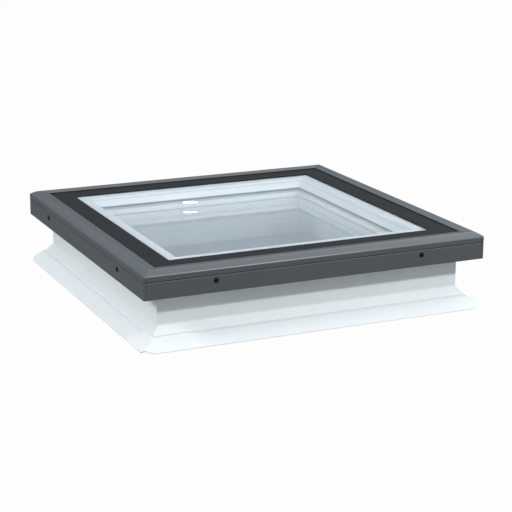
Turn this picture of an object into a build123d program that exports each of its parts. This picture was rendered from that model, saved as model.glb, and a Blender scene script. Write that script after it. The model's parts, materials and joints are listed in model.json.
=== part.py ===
"""Fixed flat-roof skylight: a white PVC kerb with an insulating glass unit, under a
glazed aluminium cover that is screwed to it from the sides.

Millimetres, +Z up. X runs along the front, Y to the back, and the origin is the
middle of the underside, where the kerb stands on the roof deck. Every ring shaped
piece is drawn as a section of (inset, height) points: inset is measured inwards
from the outside face of the cover, height from the roof deck.
"""

import os
from math import sqrt

from build123d import *

# Outside of the cover
cover_width = 1010.0
cover_depth = 1010.0

# Kerb: foot flange, wall and inner leg
kerb_height = 150.0
wall_inset = 55.0
wall_thickness = 30.0
wall_foot_height = 57.0
wall_foot_round = 10.0
kerb_top_round = 3.0
foot_overhang = 3.0
foot_lip = 2.0
foot_land = 4.8
step_inset = 30.0
step_height = 31.0
step_ledge = 4.6
step_round = 1.5
notch_width = 2.3
notch_depth = 1.4
notch_rise = 4.2
flange_skin = 3.0
trim_length = 30.0
trim_rise = 19.0
light_inset = 159.0
leg_height = 48.0
leg_round = 2.0
rebate_width = 19.0
rebate_depth = 11.5

# Insulating glass unit and its gaskets
inner_pane = 6.0
glass_gap = 22.0
outer_pane = 4.0
glass_edge_play = 2.0
spacer_width = 7.5
spacer_bevel = 1.5
edge_seal_width = 5.5
lower_gasket_height = 3.0
upper_gasket_height = 8.0
gasket_width = 12.5
gasket_setback = 0.5
gasket_hollow = 0.8
block_length = 60.0
block_height = 25.0
block_inset = 110.0

# Glazing frame that holds the unit down and carries the cover pane
frame_inset = 92.0
frame_foot_width = 12.0
frame_foot_height = 18.0
frame_height = 53.5
frame_seal = 2.0
frame_seal_width = 24.0
frame_seal_edge = 8.0
splay_run = 14.0
frame_round = 1.5
tape_width = 8.0
tape_depth = 2.0
tape_edge = 3.0
pane_play = 1.5

# Cover pane and the black border gasket on it
cover_pane = 4.0
cover_pane_inset = 24.0
pane_arris = 0.6
border_inset = 28.0
border_reach = 111.0
border_thickness = 1.6
bead_inset = 36.0
bead_width = 8.0
bead_height = 1.3

# Aluminium cover section
cover_wall = 2.2
cover_web = 2.0
skirt_drop = 6.0
skirt_return = 8.0
corner_joint = 6.5
corner_round = 4.0
shoulder_drop = 8.4
shoulder_round = 7.0
crown_inset = 20.2
crown_rise = 3.7
crown_round = 20.0
lip_reach = 48.7
lip_thickness = 2.0
groove_drop = 16.3
cover_groove = 2.0
cover_groove_depth = 1.4
cover_groove_slope = 1.2
chamber_width = 11.8
chamber_height = 17.0
ledge_reach = 44.0
bond_height = 2.0
bond_width = 16.0
pocket_play = 2.0

# Corner keys
key_leg = 60.0
key_play = 0.2

# Brackets and fasteners
bracket_width = 40.0
bracket_sheet = 3.0
bracket_bend = 4.0
bracket_play = 0.3
bracket_end_play = 2.0
fixing_inset = 200.0
fixing_rise = 27.0
screw_diameter = 5.0
screw_length = 13.0
screw_head = 12.0
screw_head_height = 2.0
screw_recess = 4.0
screw_recess_depth = 1.1
washer_diameter = 14.5
washer_height = 0.8
nut_flange = 9.0
nut_flange_height = 1.0
nut_body = 7.0
nut_length = 8.0
wood_screw = 4.0
wood_screw_length = 26.0
wood_screw_head = 8.0
wood_screw_head_height = 2.4
bracket_screw_spacing = 24.0
frame_screws_per_side = 3
frame_screw_margin = 170.0
hole_play = 0.2

# Heights that follow from the sizes above, from the roof deck up
rebate_z = kerb_height - rebate_depth
inner_pane_z = rebate_z + lower_gasket_height
gap_z = inner_pane_z + inner_pane
outer_pane_z = gap_z + glass_gap
upper_gasket_z = outer_pane_z + outer_pane
nose_z = upper_gasket_z + upper_gasket_height
leg_z = kerb_height - leg_height
frame_z = kerb_height + frame_seal
frame_foot_z = frame_z + frame_foot_height
frame_top_z = frame_z + frame_height
cover_pane_z = frame_top_z + pane_play
border_z = cover_pane_z + cover_pane
border_top_z = border_z + border_thickness
lip_z = border_top_z + bead_height
lip_top_z = lip_z + lip_thickness
crown_z = lip_top_z + crown_rise
shoulder_z = lip_top_z - shoulder_drop
ledge_z = cover_pane_z - bond_height
chamber_top_z = ledge_z - cover_web
chamber_z = chamber_top_z - chamber_height
chamber_floor_z = chamber_z - cover_web
skirt_z = kerb_height - skirt_drop
fixing_height = kerb_height + fixing_rise

# Insets that follow
rebate_inset = light_inset - rebate_width
glass_inset = rebate_inset + glass_edge_play
spacer_inset = glass_inset + edge_seal_width
gasket_end = light_inset - gasket_setback
gasket_inset = gasket_end - gasket_width
frame_body_inset = frame_inset + frame_foot_width
splay_inset = light_inset - splay_run
chamber_end = cover_wall + chamber_width
pocket_end = cover_pane_inset - pocket_play
bond_inset = ledge_reach - bond_width
key_outer = cover_wall + key_play
key_inner = chamber_end - key_play
bracket_inset = cover_wall + bracket_play
bracket_end = frame_inset - bracket_end_play
bracket_screw_inset = (wall_inset + bracket_end) / 2
frame_screw_inset = frame_inset + frame_foot_width / 2

# Each side as (name, turn about Z from the front, length, distance to the centre)
SIDES = [
    ("front", 0, cover_width, cover_depth / 2),
    ("right", 90, cover_depth, cover_width / 2),
    ("back", 180, cover_width, cover_depth / 2),
    ("left", 270, cover_depth, cover_width / 2),
]
CORNERS = [(-1, -1), (1, -1), (1, 1), (-1, 1)]


def section(*corners):
    """Closed face from (inset, height, corner radius) corners."""
    points = [(inset, height) for inset, height, _ in corners]
    radii = [radius for _, _, radius in corners]
    return make_face(FilletPolyline(*points, radius=radii, close=True).edges())


def bar(face, length, half):
    """A section run along the front side, mitred at both ends."""
    reach = length / 2 + 2 * foot_overhang
    depth = light_inset + foot_overhang
    start = Plane(origin=(-reach, -half, 0), x_dir=(0, 1, 0), z_dir=(1, 0, 0))
    run = extrude(start * face, amount=2 * reach)
    outer = half + 2 * foot_overhang
    wedge = Polygon(
        (-length / 2 - 2 * foot_overhang, -outer),
        (length / 2 + 2 * foot_overhang, -outer),
        (length / 2 - depth, depth - half),
        (depth - length / 2, depth - half),
        align=None,
    )
    return run & extrude(wedge, amount=2 * crown_z)


def ring(face):
    """The section carried round all four sides as one welded piece."""
    sides = [Rot(0, 0, turn) * bar(face, length, half) for _, turn, length, half in SIDES]
    return (sides[0] + sides[1] + sides[2] + sides[3]).solid()


def flat_ring(outer_inset, inner_inset, bottom, height):
    """A ring of plain rectangular section."""
    top = bottom + height
    return ring(
        section(
            (outer_inset, bottom, 0),
            (inner_inset, bottom, 0),
            (inner_inset, top, 0),
            (outer_inset, top, 0),
        )
    )


def sheet(inset, bottom, thickness):
    """A pane whose edges lie the inset inside the cover's outside face."""
    size = (cover_width - 2 * inset, cover_depth - 2 * inset, thickness)
    return Pos(0, 0, bottom + thickness / 2) * Box(*size)


def round_the_sides(make):
    """What make(length, half) returns for the front, turned to all four sides."""
    solids = []
    for _, turn, length, half in SIDES:
        solids += [Rot(0, 0, turn) * piece for piece in make(length, half)]
    return solids


def upright(x, y, bottom, diameter, height):
    """A vertical round bar or hole."""
    return Pos(x, y, bottom + height / 2) * Cylinder(diameter / 2, height)


def level(x, y, z, diameter, depth):
    """A round bar or hole that runs inwards from y, along +Y."""
    return Pos(x, y + depth / 2, z) * Rot(90, 0, 0) * Cylinder(diameter / 2, depth)


def fixing_stations(length):
    """The places along a side where the cover is screwed on."""
    return [fixing_inset - length / 2, length / 2 - fixing_inset]


def frame_screw_stations(length):
    """The places along a side where the glazing frame is screwed down."""
    span = length - 2 * frame_screw_margin
    gaps = frame_screws_per_side - 1
    return [span * step / gaps - span / 2 for step in range(frame_screws_per_side)]


def kerb_section():
    """Foot flange with its step, wall, glazing rebate and inner leg."""
    notch_end = step_inset + step_ledge + notch_width
    return section(
        (-foot_overhang, 0, 0),
        (-foot_overhang, foot_lip, 0),
        (step_inset, step_height, step_round),
        (step_inset + step_ledge, step_height + notch_depth / 2, 0.4),
        (step_inset + step_ledge + notch_width / 3, step_height - notch_depth / 2, 0),
        (notch_end, step_height - notch_depth / 2, 0),
        (notch_end, step_height + notch_rise, 0.6),
        (wall_inset, wall_foot_height, wall_foot_round),
        (wall_inset, kerb_height, kerb_top_round),
        (rebate_inset, kerb_height, 1.0),
        (rebate_inset, rebate_z, 0),
        (light_inset, rebate_z, 1.0),
        (light_inset, leg_z, leg_round),
        (wall_inset + wall_thickness, leg_z, leg_round),
        (wall_inset + wall_thickness, 0, 0),
    )


def flange_cavity():
    """The open underside of the flange, which leaves a skin of even thickness."""
    slope = (step_height - foot_lip) / (step_inset + foot_overhang)
    upper_slope = (wall_foot_height - step_height - notch_rise) / (
        wall_inset - step_inset - step_ledge - notch_width
    )
    start = foot_land - foot_overhang
    drop = flange_skin * sqrt(1 + slope**2)
    upper_drop = flange_skin * sqrt(1 + upper_slope**2)
    roof = step_height - notch_depth / 2 - flange_skin
    roof_start = step_inset - (step_height - drop - roof) / slope
    notch_end = step_inset + step_ledge + notch_width + flange_skin
    rise = step_height + notch_rise + flange_skin * upper_slope - upper_drop
    first = foot_lip + foot_land * slope - drop
    return section(
        (start, -1, 0),
        (start, max(first, 0), 0),
        (roof_start, roof, 0),
        (notch_end, roof, 0),
        (notch_end, rise, 0),
        (wall_inset, wall_foot_height - upper_drop, 0),
        (wall_inset, -1, 0),
    )


def corner_trim(side_x, side_y):
    """The wedge that lifts one corner of the foot clear of the deck."""
    corner = (
        side_x * (cover_width / 2 + foot_overhang),
        side_y * (cover_depth / 2 + foot_overhang),
        0,
    )
    inward = Vector(-side_x, -side_y, 0).normalized()
    across = inward.cross(Vector(0, 0, 1))
    plane = Plane(origin=corner, x_dir=inward, z_dir=across)
    run = trim_length / sqrt(2)
    steep = trim_rise / run
    back = 2 * foot_overhang
    outline = Polygon(
        (run, 0), (-back, trim_rise + back * steep), (-back, -1), (run, -1), align=None
    )
    return extrude(plane * outline, amount=2 * trim_length, both=True)


def kerb_frame():
    """White PVC kerb: one frame, welded at its mitres."""
    kerb = ring(kerb_section()) - ring(flange_cavity())
    for side_x, side_y in CORNERS:
        kerb -= corner_trim(side_x, side_y)
    bracket_depth = wood_screw_length - bracket_sheet
    frame_depth = wood_screw_length - frame_foot_height - frame_seal
    for _, turn, length, half in SIDES:
        for x in bracket_screw_stations(length):
            hole = upright(
                x,
                bracket_screw_inset - half,
                kerb_height - bracket_depth - hole_play,
                wood_screw + hole_play,
                bracket_depth + 2 * hole_play,
            )
            kerb -= Rot(0, 0, turn) * hole
        for x in frame_screw_stations(length):
            hole = upright(
                x,
                frame_screw_inset - half,
                kerb_height - frame_depth - hole_play,
                wood_screw + hole_play,
                frame_depth + 2 * hole_play,
            )
            kerb -= Rot(0, 0, turn) * hole
    return kerb.solid()


def bracket_screw_stations(length):
    """Two screws for each cover bracket along a side."""
    return [
        x + offset * bracket_screw_spacing / 2
        for x in fixing_stations(length)
        for offset in (-1, 1)
    ]


def frame_seal_strip():
    """EPDM strip between the kerb and the glazing frame, inside the screws."""
    start = frame_body_inset + frame_seal_edge
    return flat_ring(start, start + frame_seal_width, kerb_height, frame_seal)


def glazing_frame():
    """White PVC frame: its foot is screwed down, its nose holds the glass unit."""
    face = section(
        (frame_inset, frame_z, 0),
        (frame_inset, frame_foot_z, 1.0),
        (frame_body_inset, frame_foot_z, 0),
        (frame_body_inset, frame_top_z, 1.0),
        (frame_body_inset + tape_edge, frame_top_z, 0),
        (frame_body_inset + tape_edge, frame_top_z - tape_depth, 0),
        (frame_body_inset + tape_edge + tape_width, frame_top_z - tape_depth, 0),
        (frame_body_inset + tape_edge + tape_width, frame_top_z, 0),
        (splay_inset, frame_top_z, frame_round),
        (light_inset, nose_z, frame_round),
        (rebate_inset, nose_z, 0),
        (rebate_inset, frame_z, 0),
    )
    frame = ring(face)
    for _, turn, length, half in SIDES:
        for x in frame_screw_stations(length):
            hole = upright(
                x,
                frame_screw_inset - half,
                frame_z - hole_play,
                wood_screw + hole_play,
                frame_foot_height + 2 * hole_play,
            )
            frame -= Rot(0, 0, turn) * hole
    return frame.solid()


def lower_gasket():
    """Bedding gasket under the glass unit."""
    top = rebate_z + lower_gasket_height
    return ring(
        section(
            (gasket_inset, rebate_z, 0),
            (gasket_end, rebate_z, 0),
            (gasket_end, rebate_z + lower_gasket_height / 2, 0.5),
            (gasket_end - gasket_hollow, top, 0),
            (gasket_inset, top, 0),
        )
    )


def upper_gasket():
    """Dark glazing gasket between the glass unit and the nose of the frame."""
    return ring(
        section(
            (gasket_inset, upper_gasket_z, 0),
            (gasket_end, upper_gasket_z, 0),
            (gasket_end, upper_gasket_z + upper_gasket_height / 4, 0.4),
            (gasket_end - gasket_hollow, upper_gasket_z + upper_gasket_height / 2, 0),
            (gasket_end, nose_z - upper_gasket_height / 4, 0.4),
            (gasket_end, nose_z, 0),
            (gasket_inset, nose_z, 0),
        )
    )


def glass_spacer():
    """Light warm-edge spacer bar between the panes of the unit."""
    end = spacer_inset + spacer_width
    return ring(
        section(
            (spacer_inset + spacer_bevel, gap_z, 0),
            (end, gap_z, 0),
            (end, outer_pane_z, 0),
            (spacer_inset + spacer_bevel, outer_pane_z, 0),
            (spacer_inset, outer_pane_z - spacer_bevel, 0),
            (spacer_inset, gap_z + spacer_bevel, 0),
        )
    )


def edge_seal():
    """Sealant that fills the edge of the unit outside the spacer."""
    return ring(
        section(
            (glass_inset, gap_z, 0),
            (spacer_inset + spacer_bevel, gap_z, 0),
            (spacer_inset, gap_z + spacer_bevel, 0),
            (spacer_inset, outer_pane_z - spacer_bevel, 0),
            (spacer_inset + spacer_bevel, outer_pane_z, 0),
            (glass_inset, outer_pane_z, 0),
        )
    )


def setting_blocks():
    """Hard blocks that centre the glass unit in the frame, two on each side."""

    def blocks(length, half):
        y = (rebate_inset + glass_inset) / 2 - half
        z = inner_pane_z + block_height / 2 + glass_edge_play
        reach = length / 2 - rebate_inset - block_inset
        return [
            Pos(side * reach, y, z) * Box(block_length, glass_edge_play, block_height)
            for side in (-1, 1)
        ]

    return round_the_sides(blocks)


def inner_tape():
    """Foam tape in the top of the glazing frame, under the cover pane."""
    start = frame_body_inset + tape_edge
    height = tape_depth + pane_play
    return flat_ring(start, start + tape_width, frame_top_z - tape_depth, height)


def cover_glass():
    """Toughened cover pane with a fine arris."""
    pane = sheet(cover_pane_inset, cover_pane_z, cover_pane)
    return chamfer(pane.edges(), pane_arris)


def pane_bond():
    """Bonding bead between the ledge of the cover and its pane."""
    return flat_ring(bond_inset, ledge_reach, ledge_z, bond_height)


def border_gasket():
    """Black border that lies on the pane, with the bead that the cover's lip presses."""
    bead_end = bead_inset + bead_width
    return ring(
        section(
            (border_inset, border_z, 0),
            (border_reach, border_z, 0),
            (border_reach, border_top_z, border_thickness / 3),
            (bead_end, border_top_z, 0),
            (bead_end, lip_z, 0),
            (bead_inset, lip_z, 0),
            (bead_inset, border_top_z, 0),
            (border_inset, border_top_z, 0),
        )
    )


def top_line(inset, cover):
    """Height of the inner side of the cover's top, under a skin of the given thickness."""
    rise = (crown_z - shoulder_z) / crown_inset
    fall = (crown_z - lip_top_z) / (lip_reach - crown_inset)
    outer = shoulder_z + rise * inset - cover * sqrt(1 + rise**2)
    inner = crown_z - fall * (inset - crown_inset) - cover * sqrt(1 + fall**2)
    return min(outer, inner)


def cover_section():
    """Extruded cover: skirt with its groove, crowned top, pane pocket and key chamber."""
    groove_z = shoulder_z - groove_drop
    pocket_web = pocket_end - cover_web
    rise = (crown_z - shoulder_z) / crown_inset
    outline = section(
        (0, skirt_z, 0.6),
        (skirt_return, skirt_z, 0.6),
        (skirt_return, skirt_z + cover_wall, 0.6),
        (cover_wall, skirt_z + cover_wall, 0),
        (cover_wall, chamber_floor_z, 0),
        (chamber_end + cover_web, chamber_floor_z, 0.4),
        (chamber_end + cover_web, chamber_top_z, 0),
        (ledge_reach, chamber_top_z, 0.4),
        (ledge_reach, ledge_z, 0.4),
        (pocket_end, ledge_z, 0),
        (pocket_end, top_line(pocket_end, lip_thickness), 0),
        (bead_inset, top_line(bead_inset, lip_thickness), 0),
        (bead_inset, lip_z, 0),
        (lip_reach, lip_z, 0.4),
        (lip_reach, lip_top_z, 0.8),
        (crown_inset, crown_z, crown_round),
        (0, shoulder_z, shoulder_round),
        (0, groove_z + cover_groove / 2, 0),
        (cover_groove_depth, groove_z + cover_groove / 2, 0),
        (cover_groove_depth, groove_z - cover_groove / 2, 0),
        (0, groove_z - cover_groove / 2 - cover_groove_slope, 0),
    )
    key_chamber = section(
        (cover_wall, chamber_z, 0),
        (chamber_end, chamber_z, 0),
        (chamber_end, chamber_top_z, 0),
        (cover_wall, chamber_top_z, 0),
    )
    bridge_z = shoulder_z + rise * cover_wall - cover_wall * sqrt(1 + rise**2)
    edge_chamber = section(
        (cover_wall, ledge_z, 0),
        (pocket_web, ledge_z, 0),
        (pocket_web, top_line(pocket_web, cover_wall), 0),
        (cover_wall, min(bridge_z, top_line(cover_wall, cover_wall)), 0),
    )
    return outline - key_chamber - edge_chamber


def joint_plan(length, half, wraps):
    """Plan of one cover profile: mitred, but its end wraps or stops at the corner joint."""
    depth = lip_reach + cover_wall
    past = 2 * foot_overhang
    end = [(corner_joint, corner_joint), (depth, depth)]
    tip = [(-past, -past), (-past, corner_joint)] if wraps else [(corner_joint, -past)]
    right = [(length / 2 - x, y - half) for x, y in tip + end]
    left = [(-x, y) for x, y in reversed(right)]
    return extrude(Polygon(*right, *left, align=None), amount=2 * crown_z, dir=(0, 0, 1))


def corner_rounder(side_x, side_y):
    """What is cut off to round one upright edge of the cover."""
    past = 2 * foot_overhang
    x = side_x * (cover_width / 2 - corner_round)
    y = side_y * (cover_depth / 2 - corner_round)
    reach = corner_round + past
    block = Pos(x + side_x * reach / 2, y + side_y * reach / 2) * Rectangle(reach, reach)
    return extrude(block - Pos(x, y) * Circle(corner_round), amount=2 * crown_z)


def cover_profiles():
    """The four cover profiles by name, cut from one mitred frame and drilled."""
    frame = ring(cover_section())
    for side_x, side_y in CORNERS:
        frame -= corner_rounder(side_x, side_y)
    profiles = {}
    for name, turn, length, half in SIDES:
        wraps = name in ("left", "right")
        profile = frame & Rot(0, 0, turn) * joint_plan(length, half, wraps)
        for x in fixing_stations(length):
            hole = level(
                x, -half - hole_play, fixing_height, screw_diameter + hole_play, 2 * cover_wall
            )
            profile -= Rot(0, 0, turn) * hole
        profiles[f"cover_{name}"] = profile.solid()
    return profiles


def corner_keys():
    """Angles that join the cover profiles inside their key chambers."""
    keys = []
    far = key_outer + key_leg
    plan = [
        (key_outer, key_outer),
        (far, key_outer),
        (far, key_inner),
        (key_inner, key_inner),
        (key_inner, far),
        (key_outer, far),
    ]
    for side_x, side_y in CORNERS:
        outline = [
            (side_x * (cover_width / 2 - p), side_y * (cover_depth / 2 - q)) for p, q in plan
        ]
        height = chamber_height - key_play
        key = extrude(Polygon(*outline, align=None), amount=height, dir=(0, 0, 1))
        keys.append(Pos(0, 0, chamber_z) * key)
    return keys


def cover_brackets():
    """Folded steel angles on the kerb that the cover stands on and is screwed to."""

    def brackets(length, half):
        leg_end = bracket_inset + bracket_sheet
        top = kerb_height + bracket_sheet
        face = section(
            (bracket_inset, kerb_height, bracket_bend),
            (bracket_end, kerb_height, 0),
            (bracket_end, top, 0),
            (leg_end, top, bracket_bend - bracket_sheet),
            (leg_end, chamber_floor_z, 0),
            (bracket_inset, chamber_floor_z, 0),
        )
        solids = []
        for x in fixing_stations(length):
            start = Plane(
                origin=(x - bracket_width / 2, -half, 0), x_dir=(0, 1, 0), z_dir=(1, 0, 0)
            )
            bracket = extrude(start * face, amount=bracket_width)
            bracket -= level(
                x, -half, fixing_height, nut_body + hole_play, leg_end + hole_play
            )
            for offset in (-1, 1):
                bracket -= upright(
                    x + offset * bracket_screw_spacing / 2,
                    bracket_screw_inset - half,
                    kerb_height - hole_play,
                    wood_screw + hole_play,
                    bracket_sheet + 2 * hole_play,
                )
            solids.append(bracket.solid())
        return solids

    return round_the_sides(brackets)


def wood_screw_solid(x, y, seat):
    """Pan head screw standing with its head on the seat height."""
    shank = upright(x, y, seat - wood_screw_length, wood_screw, wood_screw_length)
    head = upright(x, y, seat, wood_screw_head, wood_screw_head_height)
    head = chamfer(head.edges().group_by(Axis.Z)[-1], wood_screw_head_height / 3)
    return (shank + head).solid()


def bracket_screws():
    """Screws that hold the brackets on the kerb."""

    def screws(length, half):
        y = bracket_screw_inset - half
        seat = kerb_height + bracket_sheet
        return [wood_screw_solid(x, y, seat) for x in bracket_screw_stations(length)]

    return round_the_sides(screws)


def frame_screws():
    """Screws that hold the glazing frame down on the kerb."""

    def screws(length, half):
        y = frame_screw_inset - half
        return [wood_screw_solid(x, y, frame_foot_z) for x in frame_screw_stations(length)]

    return round_the_sides(screws)


def bracket_nuts():
    """Rivet nuts in the brackets that take the cover screws."""

    def nuts(length, half):
        solids = []
        y = bracket_inset + bracket_sheet - half
        for x in fixing_stations(length):
            body = level(x, y - bracket_sheet, fixing_height, nut_body, nut_length)
            flange = level(x, y, fixing_height, nut_flange, nut_flange_height)
            bore = level(
                x,
                y - bracket_sheet - hole_play,
                fixing_height,
                screw_diameter + hole_play,
                nut_length + 2 * hole_play,
            )
            solids.append((body + flange - bore).solid())
        return solids

    return round_the_sides(nuts)


def cover_screws():
    """Black domed screws that hold the cover, two on each side."""

    def screws(length, half):
        solids = []
        seat = -half - washer_height
        for x in fixing_stations(length):
            shank = level(x, seat, fixing_height, screw_diameter, screw_length)
            head = level(
                x, seat - screw_head_height, fixing_height, screw_head, screw_head_height
            )
            head = fillet(head.edges().group_by(Axis.Y)[0], screw_head_height * 0.8)
            recess = level(
                x,
                seat - screw_head_height - hole_play,
                fixing_height,
                screw_recess,
                screw_recess_depth + hole_play,
            )
            solids.append((shank + head - recess).solid())
        return solids

    return round_the_sides(screws)


def screw_washers():
    """Sealing washers under the heads of the cover screws."""

    def washers(length, half):
        solids = []
        for x in fixing_stations(length):
            y = -half - washer_height
            washer = level(x, y, fixing_height, washer_diameter, washer_height)
            bore = level(
                x,
                y - hole_play,
                fixing_height,
                screw_diameter + hole_play,
                washer_height + 2 * hole_play,
            )
            solids.append((washer - bore).solid())
        return solids

    return round_the_sides(washers)


PARTS = {
    "kerb_frame": kerb_frame(),
    "frame_seal": frame_seal_strip(),
    "glazing_frame": glazing_frame(),
    "frame_screws": frame_screws(),
    "lower_gasket": lower_gasket(),
    "unit_inner_pane": sheet(glass_inset, inner_pane_z, inner_pane),
    "unit_spacer": glass_spacer(),
    "unit_edge_seal": edge_seal(),
    "unit_outer_pane": sheet(glass_inset, outer_pane_z, outer_pane),
    "upper_gasket": upper_gasket(),
    "setting_blocks": setting_blocks(),
    "inner_tape": inner_tape(),
    "cover_pane": cover_glass(),
    "pane_bond": pane_bond(),
    "border_gasket": border_gasket(),
    "corner_keys": corner_keys(),
    "cover_brackets": cover_brackets(),
    "bracket_screws": bracket_screws(),
    "bracket_nuts": bracket_nuts(),
    "cover_screws": cover_screws(),
    "screw_washers": screw_washers(),
}
PARTS |= cover_profiles()

os.makedirs("parts", exist_ok=True)
for name, shape in PARTS.items():
    solid = Compound(children=shape) if isinstance(shape, list) else shape
    export_step(solid, f"parts/{name}.step")
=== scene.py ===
"""Looks for the fixed flat-roof skylight: detailed pieces, finishes, lights and camera.

The long pieces are drawn as a section of (inset, height, round) corners in millimetres,
as an extruder's drawing has it: inset is measured inwards from the outside face of the
cover, height from the roof deck. Each section is run along the front, mitred, and
carried round the four sides.
"""

import json
import logging
import math
from collections.abc import Callable
from dataclasses import dataclass
from enum import Enum

import bmesh
import bpy
from mathutils import Matrix, Vector

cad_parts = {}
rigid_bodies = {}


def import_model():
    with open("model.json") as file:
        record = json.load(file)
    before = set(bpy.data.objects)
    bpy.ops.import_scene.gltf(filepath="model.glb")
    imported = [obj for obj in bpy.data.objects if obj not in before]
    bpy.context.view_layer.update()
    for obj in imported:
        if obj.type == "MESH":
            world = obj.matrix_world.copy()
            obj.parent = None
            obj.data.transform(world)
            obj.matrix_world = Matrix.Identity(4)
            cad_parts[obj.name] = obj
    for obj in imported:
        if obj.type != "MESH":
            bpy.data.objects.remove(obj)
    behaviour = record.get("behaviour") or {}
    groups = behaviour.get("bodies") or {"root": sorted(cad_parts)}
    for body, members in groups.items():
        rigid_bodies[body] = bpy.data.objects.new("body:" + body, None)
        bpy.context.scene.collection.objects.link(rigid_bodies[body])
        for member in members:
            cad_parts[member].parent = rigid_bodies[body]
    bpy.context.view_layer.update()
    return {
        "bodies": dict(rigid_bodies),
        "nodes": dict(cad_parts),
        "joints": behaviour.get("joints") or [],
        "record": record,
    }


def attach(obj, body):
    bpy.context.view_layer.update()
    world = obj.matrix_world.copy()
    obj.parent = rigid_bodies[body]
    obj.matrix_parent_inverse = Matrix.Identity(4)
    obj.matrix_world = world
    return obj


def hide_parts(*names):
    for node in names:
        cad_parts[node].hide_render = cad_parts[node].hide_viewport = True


log = logging.getLogger("skylight")
Colour = tuple[float, float, float]
Corner = tuple[float, float, float]
Outline = tuple[Corner, ...]
Place = tuple[float, float, float]
Plan = tuple[float, float]
Piece = bpy.types.Object
Socket = bpy.types.NodeSocket
Sockets = bpy.types.bpy_prop_collection
Inputs = dict[str | int, Socket | float | tuple[float, ...]]

# One millimetre in Blender's metres. Every length below is in millimetres unless it says so.
MM = 0.001
# Half of the cover's length and width.
HALF = 505.0
# How far a cutting tool stands out past what it cuts.
PAST = 8.0
# How near to a plane a point or a face counts as lying in it.
NEAR = 0.01
# Points nearer than this are one point, and what is thinner than a sliver is cleared.
TOUCHING = 0.001
SLIVER = 0.02
# Faces that meet at less than this many degrees are shaded as one smooth face.
SMOOTH_ANGLE = 32.0
# Rounds of a radius above LARGE_ROUND turn by LARGE_STEP degrees a face, others by SMALL_STEP.
LARGE_ROUND = 3.0
LARGE_STEP = 5.0
SMALL_STEP = 18.0


def srgb(red: int, green: int, blue: int) -> Colour:
    """Turn an 8-bit display colour into linear values.

    Args:
        red: Red, 0 to 255.
        green: Green, 0 to 255.
        blue: Blue, 0 to 255.

    Returns:
        The same colour as linear red, green and blue.
    """

    def linear(value: int) -> float:
        """One channel."""
        v = value / 255
        return v / 12.92 if v <= 0.04045 else ((v + 0.055) / 1.055) ** 2.4

    return linear(red), linear(green), linear(blue)


def shade(colour: Colour, factor: float) -> Colour:
    """A colour made lighter or darker by a factor."""
    return tuple(min(1.0, channel * factor) for channel in colour)


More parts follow.
